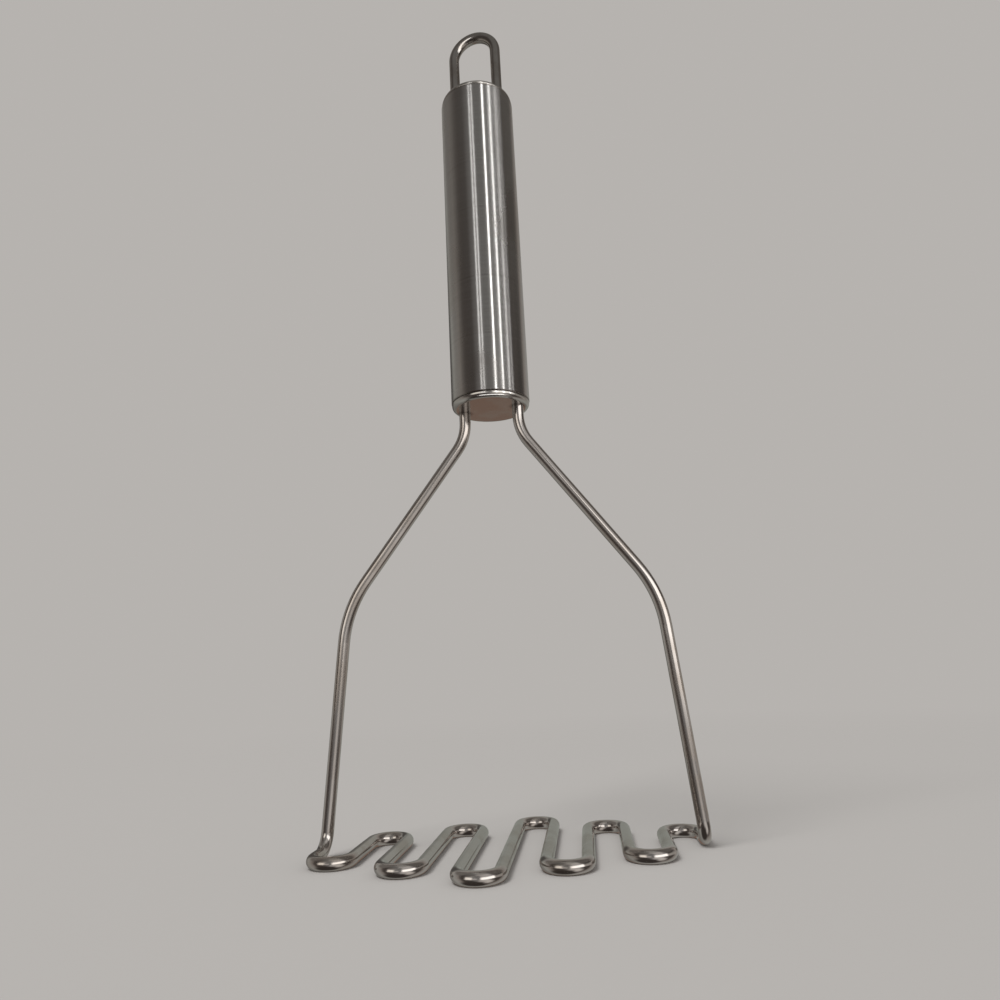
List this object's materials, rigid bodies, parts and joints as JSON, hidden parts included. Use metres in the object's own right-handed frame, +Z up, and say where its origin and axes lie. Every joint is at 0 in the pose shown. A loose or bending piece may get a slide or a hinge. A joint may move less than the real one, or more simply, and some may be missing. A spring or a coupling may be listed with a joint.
{
  "type": "potato masher",
  "caption": "Bent-wire potato masher: a flat zigzag wire head on two splayed arms, with a hollow round steel handle, end caps and a hanging loop.",
  "frame": {"origin": "on the handle's axis, in the plane that the wire head rests on", "axes": "+Z up along the handle's axis, away from the head; +X across the two arms; +Y along the head's cross runs"},
  "size_m": [0.1106, 0.0684, 0.2765],
  "materials": {
    "polished_wire": "polished stainless wire",
    "brushed_tube": "satin, brushed round the tube",
    "polished_cap": "mirror-polished stainless sheet",
    "weld_steel": "dull weld bead"
  },
  "bodies": {
    "root": {"masher_wire": "polished_wire", "handle_tube": "brushed_tube", "head_end_cap": "polished_cap", "loop_end_cap": "polished_cap", "hanging_loop": "polished_wire", "arm_welds": "weld_steel", "loop_welds": "weld_steel"}
  },
  "joints": []
}
